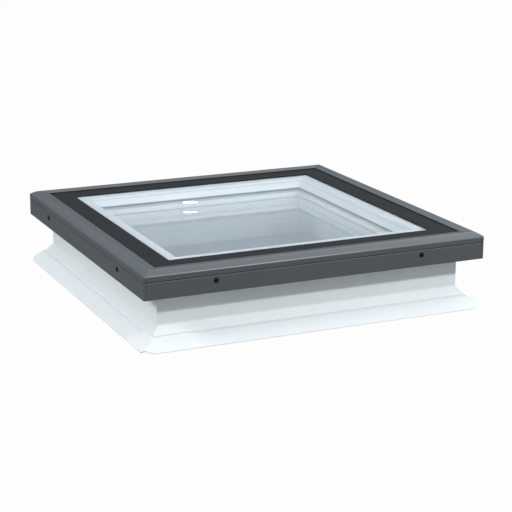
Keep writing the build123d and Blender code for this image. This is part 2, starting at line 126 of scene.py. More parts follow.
class Bench:
    """Blender's modelling tools, called with lengths in millimetres."""

    @staticmethod
    def alone(piece: Piece) -> None:
        """Select one piece and nothing else."""
        bpy.ops.object.select_all(action="DESELECT")
        piece.select_set(True)
        bpy.context.view_layer.objects.active = piece

    @staticmethod
    def everything() -> None:
        """Select the whole mesh, in edit mode."""
        bpy.ops.mesh.select_all(action="SELECT")

    @staticmethod
    def begin(name: str) -> Piece:
        """Name the primitive just added and open it in edit mode, to work on its points."""
        piece = bpy.context.object
        piece.name = piece.data.name = name
        bpy.ops.object.mode_set(mode="EDIT")
        bpy.ops.mesh.select_mode(type="VERT")
        return piece

    @staticmethod
    def draw(name: str, points: list[Vector]) -> Piece:
        """Draw a closed flat face by extruding one point along its outline.

        Args:
            name: Name of the piece that starts here.
            points: Corners of the face.

        Returns:
            The new piece, left in edit mode with its face selected.
        """
        bpy.ops.object.select_all(action="DESELECT")
        bpy.ops.mesh.primitive_plane_add(size=MM)
        piece = Bench.begin(name)
        Bench.everything()
        bpy.ops.mesh.merge(type="CENTER")
        bpy.ops.transform.translate(value=points[0] * MM)
        for start, end in zip(points, points[1:]):
            Bench.pull(*(end - start))
        Bench.everything()
        bpy.ops.mesh.edge_face_add()
        return piece

    @staticmethod
    def pick(test: Callable[[Vector], bool], faces: bool = False) -> None:
        """Select what lies where a test says, in edit mode.

        Args:
            test: Takes a place in millimetres and says whether to select there.
            faces: Test the middles of faces instead of the vertices.
        """
        mesh = bmesh.from_edit_mesh(bpy.context.edit_object.data)
        for group in (mesh.faces, mesh.edges, mesh.verts):
            for item in group:
                item.select = False
        if faces:
            for face in mesh.faces:
                if test(face.calc_center_median() / MM):
                    face.select_set(True)
        else:
            for vertex in mesh.verts:
                if test(vertex.co / MM):
                    vertex.select = True
            mesh.select_flush_mode()
        bmesh.update_edit_mesh(bpy.context.edit_object.data)

    @staticmethod
    def bevel(offset: float, steps: int, **options: str | bool) -> None:
        """Round what is selected, from an offset away on each side of it."""
        bpy.ops.mesh.bevel(offset=offset * MM, segments=steps, profile=0.5, **options)

    @staticmethod
    def round_at(place: Vector, offset: float, steps: int) -> None:
        """Round one corner of a flat face.

        Args:
            place: The corner.
            offset: Distance from the corner to where the round starts.
            steps: Segments of the round.
        """
        Bench.pick(lambda spot: (spot - place).length < TOUCHING)
        Bench.bevel(offset, steps, affect="VERTICES", clamp_overlap=False)

    @staticmethod
    def pull(x: float = 0.0, y: float = 0.0, z: float = 0.0) -> None:
        """Extrude what is selected by a distance."""
        step = Vector((x, y, z)) * MM
        bpy.ops.mesh.extrude_region_move(TRANSFORM_OT_translate={"value": step})

    @staticmethod
    def slice(normal: Plan) -> None:
        """Cut the mesh by an upright plane through the middle and drop its far side."""
        Bench.everything()
        bpy.ops.mesh.bisect(
            plane_co=(0, 0, 0), plane_no=(*normal, 0), use_fill=False, clear_outer=True
        )

    @staticmethod
    def turn(degrees: float) -> None:
        """Turn what is selected about the upright axis, clockwise as seen from above."""
        bpy.ops.transform.rotate(
            value=math.radians(degrees), orient_axis="Z", center_override=(0, 0, 0)
        )

    @staticmethod
    def weld(gap: float = TOUCHING) -> None:
        """Join all points of the mesh that lie nearer to each other than a gap."""
        Bench.everything()
        bpy.ops.mesh.remove_doubles(threshold=gap * MM)

    @staticmethod
    def all_round() -> None:
        """Copy the whole mesh to the other three sides and join what meets."""
        Bench.everything()
        for _ in range(3):
            bpy.ops.mesh.duplicate()
            Bench.turn(90)
        Bench.weld()

    @staticmethod
    def close(piece: Piece) -> None:
        """Leave edit mode with the mesh facing outwards."""
        Bench.everything()
        bpy.ops.mesh.normals_make_consistent(inside=False)
        bpy.ops.object.mode_set(mode="OBJECT")
        Bench.alone(piece)

    @staticmethod
    def combine(piece: Piece, tool: Piece, operation: str) -> None:
        """Cut a piece by a tool, or keep what they share, and remove the tool.

        Args:
            piece: The piece to change.
            tool: The closed solid it is cut with.
            operation: DIFFERENCE or INTERSECT.
        """
        Bench.alone(piece)
        modifier = piece.modifiers.new("cut", "BOOLEAN")
        modifier.operation = operation
        modifier.solver = "EXACT"
        modifier.object = tool
        bpy.ops.object.modifier_apply(modifier=modifier.name)
        bpy.data.objects.remove(tool)

    @staticmethod
    def copy(piece: Piece, name: str) -> Piece:
        """Copy a piece with its own mesh."""
        twin = piece.copy()
        twin.data = piece.data.copy()
        twin.name = twin.data.name = name
        bpy.context.scene.collection.objects.link(twin)
        return twin

    @staticmethod
    def smooth(piece: Piece) -> None:
        """Clear slivers, shade rounds smoothly and keep flat faces flat."""
        Bench.alone(piece)
        bpy.ops.object.mode_set(mode="EDIT")
        Bench.weld(SLIVER)
        bpy.ops.mesh.dissolve_degenerate(threshold=SLIVER * MM)
        bpy.ops.object.mode_set(mode="OBJECT")
        bpy.ops.object.shade_smooth_by_angle(angle=math.radians(SMOOTH_ANGLE))
        modifier = piece.modifiers.new("normals", "WEIGHTED_NORMAL")
        modifier.keep_sharp = True
        bpy.ops.object.modifier_apply(modifier=modifier.name)


@dataclass(frozen=True)
class Section:
    """A closed section of (inset, height, round) corners."""

    corners: Outline

    def at(self, index: int) -> Vector:
        """One corner as inset and height."""
        return Vector(self.corners[index % len(self.corners)][:2])

    def rounding(self, index: int) -> tuple[float, int]:
        """How far from a corner its round starts, and in how many steps it turns."""
        here = self.at(index)
        before = (self.at(index - 1) - here).normalized()
        after = (self.at(index + 1) - here).normalized()
        inside = before.angle(after)
        turn = math.degrees(math.pi - inside)
        radius = self.corners[index][2]
        step = LARGE_STEP if radius > LARGE_ROUND else SMALL_STEP
        return radius / math.tan(inside / 2), max(2, round(turn / step))

    def draw(self, name: str, x: float) -> Piece:
        """Draw the section across the front side, with its corners rounded.

        Args:
            name: Name of the piece.
            x: Where along the front the section stands.

        Returns:
            The new piece, in edit mode.
        """
        points = [Vector((x, inset - HALF, height)) for inset, height, _ in self.corners]
        piece = Bench.draw(name, points)
        for index, (_, _, radius) in enumerate(self.corners):
            if radius:
                Bench.round_at(points[index], *self.rounding(index))
        Bench.everything()
        return piece

    def ring(self, name: str) -> Piece:
        """Carry the section round all four sides, mitred at the corners.

        Args:
            name: Name of the piece.

        Returns:
            The closed ring, in object mode.
        """
        spare = 20
        reach = HALF + spare
        piece = self.draw(name, -reach)
        Bench.pull(x=2 * reach)
        Bench.slice((-1, 1))
        Bench.slice((1, 1))
        Bench.all_round()
        Bench.close(piece)
        return piece


def block(name: str, plan: list[Plan], low: float, high: float) -> Piece:
    """An upright solid of the given plan.

    Args:
        name: Name of the solid.
        plan: Its corners.
        low: Height of its underside.
        high: Height of its top.

    Returns:
        The solid, in edit mode and all selected.
    """
    piece = Bench.draw(name, [Vector((x, y, low)) for x, y in plan])
    Bench.pull(z=high - low)
    Bench.everything()
    return piece


class Wiring:
    """A shader node tree with short ways to add nodes and join them."""

    def __init__(self, tree: bpy.types.NodeTree) -> None:
        """Take up a tree.

        Args:
            tree: The tree that the nodes go to.
        """
        self.tree = tree

    def link(self, start: Socket, end: Socket) -> None:
        """Join two sockets."""
        self.tree.links.new(start, end)

    def feed(self, node: bpy.types.Node, inputs: Inputs) -> None:
        """Give inputs their values, or link the sockets that feed them.

        Args:
            node: The node.
            inputs: Values and sockets by the input's name or number.
        """
        for label, value in inputs.items():
            if isinstance(value, Socket):
                self.link(value, node.inputs[label])
            else:
                node.inputs[label].default_value = value

    def add(
        self, kind: str, inputs: Inputs | None = None, **settings: str | bpy.types.NodeTree
    ) -> bpy.types.Node:
        """Add one node.

        Args:
            kind: Its type, without the word that every shader node's type begins with.
            inputs: Values and sockets by the input's name or number.
            settings: The node's own settings.

        Returns:
            The new node.
        """
        node = self.tree.nodes.new(f"ShaderNode{kind}")
        for name, setting in settings.items():
            setattr(node, name, setting)
        self.feed(node, inputs or {})
        return node

    def maths(self, operation: str, *values: Socket | float) -> Socket:
        """One calculation with sockets and numbers."""
        return self.add("Math", dict(enumerate(values)), operation=operation).outputs[0]

    def scale(self, colour: Socket, factor: Socket) -> Socket:
        """A colour or direction times a factor."""
        return self.add("VectorMath", {0: colour, "Scale": factor}, operation="SCALE").outputs[0]

    def span(
        self,
        value: Socket,
        start: float,
        end: Socket | float,
        low: float = 0.0,
        high: float = 1.0,
    ) -> Socket:
        """Map what runs from start to end onto low to high.

        Args:
            value: What is mapped.
            start: Where it gives low.
            end: Where it gives high.
            low: What comes out at the start and before it.
            high: What comes out at the end and past it.

        Returns:
            The mapped value's socket.
        """
        names = ("Value", "From Min", "From Max", "To Min", "To Max")
        inputs = dict(zip(names, (value, start, end, low, high)))
        return self.add("MapRange", inputs).outputs["Result"]

    def noise(self, place: Socket, scale: Socket, detail: float) -> Socket:
        """A cloudy pattern over a place."""
        inputs = {"Vector": place, "Scale": scale, "Detail": detail}
        return self.add("TexNoise", inputs).outputs["Fac"]

    def blend(
        self, factor: Socket, first: Socket | Colour, second: Socket | Colour, way: str = "MIX"
    ) -> Socket:
        """Mix two colours by a mask.

        Args:
            factor: Socket that runs from 0, the first, to 1, the second.
            first: Linear colour or a colour's socket.
            second: Linear colour or a colour's socket.
            way: How they mix.

        Returns:
            The mixed colour's socket.
        """
        inputs = {0: factor}
        for label, colour in ((6, first), (7, second)):
            inputs[label] = colour if isinstance(colour, Socket) else (*colour, 1)
        return self.add("Mix", inputs, data_type="RGBA", blend_type=way).outputs[2]

    def from_middle(self) -> tuple[Socket, Socket, Socket]:
        """How far a spot lies from the middle in X and in Y, and its height, in metres."""
        split = self.add("SeparateXYZ", {0: self.add("TexCoord").outputs["Object"]}).outputs
        return self.maths("ABSOLUTE", split["X"]), self.maths("ABSOLUTE", split["Y"]), split["Z"]


class SharedNodes:
    """Shader node groups that several finishes use, each built once. Lengths are in metres."""

    def __init__(self) -> None:
        """Build the groups."""
        self.grain = self.build_grain()
        self.run_lines = self.build_run_lines()
        self.groove_shade = self.build_groove_shade()

    @staticmethod
    def start(
        name: str, inputs: dict[str, float], outputs: tuple[str, ...]
    ) -> tuple[Wiring, Sockets, Sockets]:
        """Begin a group.

        Args:
            name: Name of the group.
            inputs: Its inputs with their usual values.
            outputs: Its outputs.

        Returns:
            The group, the sockets it gives and the sockets that take its results.
        """
        tree = bpy.data.node_groups.new(name, "ShaderNodeTree")
        kind = "NodeSocketFloat"
        for label, usual in inputs.items():
            socket = tree.interface.new_socket(label, in_out="INPUT", socket_type=kind)
            socket.default_value = usual
        for label in outputs:
            tree.interface.new_socket(label, in_out="OUTPUT", socket_type=kind)
        given = tree.nodes.new("NodeGroupInput").outputs
        return Wiring(tree), given, tree.nodes.new("NodeGroupOutput").inputs

    def build_grain(self) -> bpy.types.NodeTree:
        """Slow patches and fine grain over a surface."""
        group, given, result = self.start(
            "surface_grain", {"Patch Scale": 6.0, "Grain Scale": 900.0}, ("Patches", "Grain")
        )
        place = group.add("TexCoord").outputs["Object"]
        darkest, lightest = 0.3, 0.7
        rows = (("Patch Scale", "Patches", 3.0), ("Grain Scale", "Grain", 2.0))
        for scale, output, detail in rows:
            noise = group.noise(place, given[scale], detail)
            group.link(group.span(noise, darkest, lightest), result[output])
        return group.tree

    def build_run_lines(self) -> bpy.types.NodeTree:
        """Faint lines along an extruded ring, and the weld seams across its mitres."""
        group, given, result = self.start(
            "run_lines", {"Line Scale": 400.0, "Seam Width": 0.001}, ("Lines", "Seam")
        )
        stretch = 0.01
        wide, deep, height = group.from_middle()
        across = group.maths("MAXIMUM", wide, deep)
        along = group.maths("MINIMUM", wide, deep)
        drawn_out = group.maths("MULTIPLY", along, stretch)
        place = group.add("CombineXYZ", {"X": across, "Y": drawn_out, "Z": height}).outputs[0]
        group.link(group.noise(place, given["Line Scale"], 2.0), result["Lines"])
        apart = group.maths("SUBTRACT", across, along)
        group.link(group.span(apart, 0.0, given["Seam Width"], 1.0, 0.0), result["Seam"])
        return group.tree

    def build_groove_shade(self) -> bpy.types.NodeTree:
        """Mask for painted shade in a groove that runs all round a face, where light hardly
        reaches.
        """
        group, given, result = self.start(
            "groove_shade", {"Height": 0.1912, "Width": 0.0024, "Face": 0.505}, ("Shade",)
        )
        shallowest, deepest = 0.0003, 0.0021
        wide, deep, height = group.from_middle()
        away = group.maths("ABSOLUTE", group.maths("SUBTRACT", height, given["Height"]))
        level = group.maths("LESS_THAN", away, group.maths("MULTIPLY", given["Width"], 0.5))
        depth = group.maths("SUBTRACT", given["Face"], group.maths("MAXIMUM", wide, deep))
        sunk = group.maths("MULTIPLY", group.maths("GREATER_THAN", depth, shallowest), level)
        inside = group.maths("LESS_THAN", depth, deepest)
        group.link(group.maths("MULTIPLY", sunk, inside), result["Shade"])
        return group.tree


class NodeSheet(Wiring):
    """A material with its node tree, its main shader and its output."""

    def __init__(self, name: str) -> None:
        """Make an empty node material.

        Args:
            name: Name of the material.
        """
        self.material = bpy.data.materials.new(name)
        self.material.use_nodes = True
        super().__init__(self.material.node_tree)
        self.tree.nodes.clear()
        self.output = self.add("OutputMaterial")
        self.shader = self.add("BsdfPrincipled")
        self.link(self.shader.outputs["BSDF"], self.output.inputs["Surface"])

    def group(self, tree: bpy.types.NodeTree, **values: float) -> Sockets:
        """Place a shared group with this material's own values.

        Args:
            tree: The group.
            values: Its inputs, with spaces written as underscores.

        Returns:
            The group's outputs.
        """
        inputs = {label.replace("_", " "): value for label, value in values.items()}
        return self.add("Group", inputs, node_tree=tree).outputs

    def darken(self, colour: Socket, mask: Socket, factor: float) -> Socket:
        """Multiply a colour by a factor where a mask is 1."""
        return self.blend(mask, colour, (factor, factor, factor), "MULTIPLY")

    def bump(self, height: Socket, distance: float) -> None:
        """Let a height pattern turn the shader's normal."""
        node = self.add("Bump", {"Distance": distance, "Strength": 1.0, "Height": height})
        self.link(node.outputs["Normal"], self.shader.inputs["Normal"])

    def mix_in(self, factor: Socket, other: Socket) -> None:
        """Show another shader in place of the main one as far as a factor says."""
        mix = self.add("MixShader", {"Fac": factor, 1: self.shader.outputs["BSDF"], 2: other})
        self.link(mix.outputs["Shader"], self.output.inputs["Surface"])


@dataclass(frozen=True)
class Coating:
    """An opaque finish: its colour, gloss, grain, and the lines and seams of an extrusion.

    Lengths are in metres. groove is how far painted shade darkens the colour in a groove,
    and groove_place is the groove's height, its width, and how far the face that it is
    sunk in lies from the middle.
    """

    name: str
    colour: Colour
    roughness: float
    specular: float = 0.5
    metallic: float = 0.0
    variation: float = 0.03
    gloss_play: float = 0.1
    patch: float = 6.0
    grain: float = 900.0
    relief: float = 0.00001
    lines: float = 0.0
    line_scale: float = 700.0
    seam: float = 0.0
    seam_width: float = 0.0009
    seam_depth: float = 6.0
    groove: float = 0.0
    groove_place: Place = (0.1912, 0.0024, 0.505)

    def build(self, shared: SharedNodes) -> bpy.types.Material:
        """Make the material.

        Args:
            shared: The groups that the finishes share.

        Returns:
            The finished Blender material.
        """
        sheet = NodeSheet(self.name)
        grain = sheet.group(shared.grain, Patch_Scale=self.patch, Grain_Scale=self.grain)
        height = grain["Grain"]
        colour = sheet.blend(
            grain["Patches"],
            shade(self.colour, 1 - self.variation),
            shade(self.colour, 1 + self.variation),
        )
        if self.lines or self.seam:
            run = sheet.group(
                shared.run_lines, Line_Scale=self.line_scale, Seam_Width=self.seam_width
            )
            height = sheet.maths("MULTIPLY_ADD", run["Lines"], self.lines, height)
            sunk = -self.seam * self.seam_depth
            height = sheet.maths("MULTIPLY_ADD", run["Seam"], sunk, height)
            if self.seam:
                colour = sheet.darken(colour, run["Seam"], 1 - self.seam)
        # Painted shade: the colour is darkened in the groove, where light hardly reaches.
        if self.groove:
            level, width, face = self.groove_place
            line = sheet.group(shared.groove_shade, Height=level, Width=width, Face=face)
            colour = sheet.darken(colour, line["Shade"], 1 - self.groove)
        smoothest, roughest = 1 - self.gloss_play, 1 + self.gloss_play
        ends = (self.roughness * smoothest, self.roughness * roughest)
        looks = {
            "Base Color": colour,
            "Roughness": sheet.span(grain["Grain"], 0.0, 1.0, *ends),
            "Metallic": self.metallic,
            "Specular IOR Level": self.specular,
        }
        sheet.feed(sheet.shader, looks)
        sheet.bump(height, self.relief)
        return sheet.material


@dataclass(frozen=True)
class Pane:
    """Clear glass that lets lamps through, so that what lies under it is lit."""

    name: str
    colour: Colour
    ior: float = 1.5
    shadow: float = 0.92

    def build(self, shared: SharedNodes) -> bpy.types.Material:
        """Make the material.

        Args:
            shared: Not used; glass needs none of the groups that the finishes share.

        Returns:
            The finished Blender material.
        """
        sheet = NodeSheet(self.name)
        looks = {
            "Base Color": (*self.colour, 1),
            "Roughness": 0.0,
            "IOR": self.ior,
            "Transmission Weight": 1.0,
        }
        sheet.feed(sheet.shader, looks)
        clear = sheet.add("BsdfTransparent", {"Color": (*shade(self.colour, self.shadow), 1)})
        sheet.mix_in(sheet.add("LightPath").outputs["Is Shadow Ray"], clear.outputs["BSDF"])
        return sheet.material


class Finish(Enum):
    """Every finish on the skylight."""

    # Painted shade: the powder coat is darkened almost to black in the skirt's groove.
    POWDER_COAT = Coating(
        "powder_coat", srgb(85, 91, 96), 0.34, variation=0.02, grain=1600.0, relief=0.000012,
        groove=0.93,
    )
    KERB_WHITE = Coating(
        "kerb_white", srgb(241, 247, 250), 0.4, variation=0.006, patch=3.0, grain=500.0,
        relief=0.000006, lines=2.0, seam=0.1,
    )
    # Painted shade: the frame's white PVC is coloured darker than the kerb's, and darker still
    # in the fine line on its splay.
    FRAME_WHITE = Coating(
        "frame_white_painted_shade", srgb(196, 204, 211), 0.36, variation=0.006, patch=3.0, grain=500.0,
        relief=0.000005, lines=2.0, seam=0.08, groove=0.3, groove_place=(0.1988, 0.0024, 0.3575),
    )
    BORDER_BLACK = Coating(
        "border_black", srgb(34, 37, 40), 0.6, specular=0.12, variation=0.05, grain=800.0,
        relief=0.00002,
    )
    GASKET_GREY = Coating("gasket_grey", srgb(66, 72, 78), 0.6, specular=0.3, variation=0.05)
    RUBBER_BLACK = Coating(
        "rubber_black", srgb(18, 19, 20), 0.6, specular=0.12, variation=0.08, relief=0.00002
    )
    SEALANT = Coating("sealant", srgb(52, 53, 55), 0.55, variation=0.06, grain=500.0)
    SPACER_GREY = Coating(
        "spacer_grey", srgb(222, 226, 230), 0.45, variation=0.02, grain=1500.0, relief=0.00003
    )
    BLOCK_GREY = Coating("block_grey", srgb(150, 154, 158), 0.5)
    RAW_ALUMINIUM = Coating(
        "raw_aluminium", (0.7, 0.71, 0.72), 0.32, metallic=1.0, variation=0.04, lines=3.0
    )
    ZINC = Coating("zinc", (0.6, 0.62, 0.64), 0.3, metallic=1.0, variation=0.08, patch=60.0)
    SCREW_BLACK = Coating(
        "screw_black", srgb(20, 21, 23), 0.34, specular=0.3, variation=0.05, grain=1500.0
    )
    COVER_GLASS = Pane("cover_glass", (0.97, 0.985, 0.99))
    UNIT_GLASS = Pane("unit_glass", (0.94, 0.97, 0.98))
    LAMINATED_GLASS = Pane("laminated_glass", (0.9, 0.95, 0.97))


class Workshop:
    """Dresses pieces with finishes and fits new pieces to the frame."""

    def __init__(self, frame: dict) -> None:
        """Build the finishes.
        """
        self.nodes = frame["nodes"]
        shared = SharedNodes()
        self.materials = {finish: finish.value.build(shared) for finish in Finish}

    def dress(self, piece: Piece, finish: Finish) -> None:
        """Put one finish on a piece in place of what it had."""
        piece.data.materials.clear()
        piece.data.materials.append(self.materials[finish])
        piece.data.polygons.foreach_set("material_index", [0] * len(piece.data.polygons))

    def dress_nodes(self, **finishes: Finish) -> None:
        """Dress the solids that stay as they are.

        Args:
            finishes: Each node's finish, by the node's name.
        """
        for name, finish in finishes.items():
            self.dress(self.nodes[name], finish)
            log.info("%s keeps its solid, in %s", name, finish.value.name)

    def fit(self, piece: Piece, node: str, finish: Finish) -> None:
        """Finish a new piece and let it stand for a solid of the frame.

        Args:
            piece: The new piece.
            node: The solid that it replaces.
            finish: What it is dressed with.
        """
        Bench.smooth(piece)
        self.dress(piece, finish)
        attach(piece, "root")
        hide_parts(node)
        log.info("%s: %d faces for %s", piece.name, len(piece.data.polygons), node)


@dataclass(frozen=True)
class Kerb:
    """White PVC kerb with its foot flange, and the seal on top of it."""

    overhang: float = 3.0
    foot_lip: float = 2.0
    step: Plan = (30.0, 31.0)
    ledge: Plan = (34.6, 31.7)
    notch: Plan = (35.4, 30.3)
    upper_slope: Plan = (36.9, 35.2)
    wall: float = 55.0
    wall_inside: float = 85.0
    wall_foot: float = 57.0
    top: float = 150.0
    rebate: float = 140.0
    rebate_floor: float = 138.5
    light: float = 159.0
    leg: float = 102.0
    hollow_top: float = 52.3
    hollow_step: Plan = (39.9, 34.1)
    hollow_shelf: Plan = (30.3, 27.3)
    hollow_edge: Plan = (1.8, 2.2)
    trim_run: float = 21.2
    trim_rise: float = 19.0
    trim_width: float = 120.0
    trim_depth: float = 5.0

    def section(self) -> Outline:
        """Flange with its step and hollow underside, wall, glazing rebate and inner leg."""
        return (
            (-self.overhang, 0, 0),
            (-self.overhang, self.foot_lip, 0.5),
            (*self.step, 1.5),
            (*self.ledge, 0.4),
            (*self.notch, 0),
            (self.upper_slope[0], self.notch[1], 0),
            (*self.upper_slope, 0.6),
            (self.wall, self.wall_foot, 10),
            (self.wall, self.top, 3),
            (self.rebate, self.top, 1),
            (self.rebate, self.rebate_floor, 0),
            (self.light, self.rebate_floor, 1),
            (self.light, self.leg, 2),
            (self.wall_inside, self.leg, 2),
            (self.wall_inside, 0, 0.5),
            (self.wall, 0, 0.5),
            (self.wall, self.hollow_top, 0),
            (*self.hollow_step, 0),
            (self.hollow_step[0], self.hollow_shelf[1], 0),
            (*self.hollow_shelf, 0),
            (*self.hollow_edge, 0),
            (self.hollow_edge[0], 0, 0),
        )

    def trims(self) -> Piece:
        """The wedges that lift the four corners of the foot clear of the deck."""
        corner = (HALF + self.overhang) * math.sqrt(2)
        steep = self.trim_rise / self.trim_run
        start, end, low = corner - self.trim_run, corner + PAST, -self.trim_depth
        outline = [(start, 0), (end, self.trim_rise + PAST * steep), (end, low), (start, low)]
        tool = Bench.draw("trims", [Vector((x, -self.trim_width / 2, z)) for x, z in outline])
        Bench.pull(y=self.trim_width)
        Bench.everything()
        Bench.turn(45)
        Bench.all_round()
        Bench.close(tool)
        return tool

    def build(self, shop: Workshop) -> None:
        """Make and dress the kerb.

        Args:
            shop: Where it is dressed and fitted.
        """
        kerb = Section(self.section()).ring("kerb_frame_detail")
        Bench.combine(kerb, self.trims(), "DIFFERENCE")
        shop.fit(kerb, "kerb_frame", Finish.KERB_WHITE)
        shop.dress_nodes(frame_seal=Finish.RUBBER_BLACK)


@dataclass(frozen=True)
class GlazingFrame:
    """White PVC frame that holds the glass unit down, with the gasket under its nose."""

    foot: float = 92.0
    body: float = 104.0
    base: float = 152.0
    foot_top: float = 170.0
    top: float = 205.5
    tape_edge: float = 3.0
    tape_width: float = 8.0
    tape_depth: float = 2.0
    splay_start: float = 145.0
    splay_end: float = 159.0
    splay_foot: float = 181.5
    line_share: float = 0.28
    line_width: float = 1.3
    line_depth: float = 1.0
    nose: float = 179.3
    inner_face: float = 140.0
    glass_top: float = 173.5
    gasket_start: float = 146.0
    gasket_lip: float = 158.4
    gasket_neck: float = 157.9
    gasket_end: float = 158.3
    gasket_lip_height: float = 1.6

    def fine_line(self) -> Outline:
        """The corners of the fine groove that runs along the splayed face below its rim."""
        start = Vector((self.splay_start, self.top))
        way = Vector((self.splay_end, self.splay_foot)) - start
        centre = start + way * self.line_share
        along = way.normalized() * self.line_width / 2
        inwards = Vector((way.y, -way.x)).normalized() * self.line_depth
        upper, lower = centre - along, centre + along
        spots = (upper, upper + inwards, lower + inwards, lower)
        return tuple((spot.x, spot.y, 0) for spot in spots)

    def section(self) -> Outline:
        """Foot, body with its tape groove, splayed face with its fine line, and nose."""
        tape = self.body + self.tape_edge
        tape_end = tape + self.tape_width
        tape_floor = self.top - self.tape_depth
        return (
            (self.foot, self.base, 0),
            (self.foot, self.foot_top, 1),
            (self.body, self.foot_top, 0),
            (self.body, self.top, 1),
            (tape, self.top, 0),
            (tape, tape_floor, 0),
            (tape_end, tape_floor, 0),
            (tape_end, self.top, 0),
            (self.splay_start, self.top, 1.5),
            *self.fine_line(),
            (self.splay_end, self.splay_foot, 2.5),
            (self.splay_end, self.nose, 0.6),
            (self.inner_face, self.nose, 0),
            (self.inner_face, self.base, 0),
        )

    def gasket_section(self) -> Outline:
        """Soft gasket with a lip that rests on the glass."""
        return (
            (self.gasket_start, self.glass_top, 0),
            (self.gasket_lip, self.glass_top, 0.4),
            (self.gasket_neck, self.glass_top + self.gasket_lip_height, 0.5),
            (self.gasket_end, self.nose, 0),
            (self.gasket_start, self.nose, 0),
        )

    def build(self, shop: Workshop) -> None:
        """Make and dress the frame and its gasket.

        Args:
            shop: Where they are dressed and fitted.
        """
        frame = Section(self.section()).ring("glazing_frame_detail")
        shop.fit(frame, "glazing_frame", Finish.FRAME_WHITE)
        gasket = Section(self.gasket_section()).ring("upper_gasket_detail")
        shop.fit(gasket, "upper_gasket", Finish.GASKET_GREY)
        shop.dress_nodes(frame_screws=Finish.ZINC, inner_tape=Finish.RUBBER_BLACK)


@dataclass(frozen=True)
class GlassUnit:
    """Insulating glass unit on its gasket and blocks."""

    def build(self, shop: Workshop) -> None:
        """Dress the unit's solids.

        Args:
            shop: Where they are dressed.
        """
        shop.dress_nodes(
            lower_gasket=Finish.GASKET_GREY,
            unit_inner_pane=Finish.LAMINATED_GLASS,
            unit_spacer=Finish.SPACER_GREY,
            unit_edge_seal=Finish.SEALANT,
            unit_outer_pane=Finish.UNIT_GLASS,
            setting_blocks=Finish.BLOCK_GREY,
        )


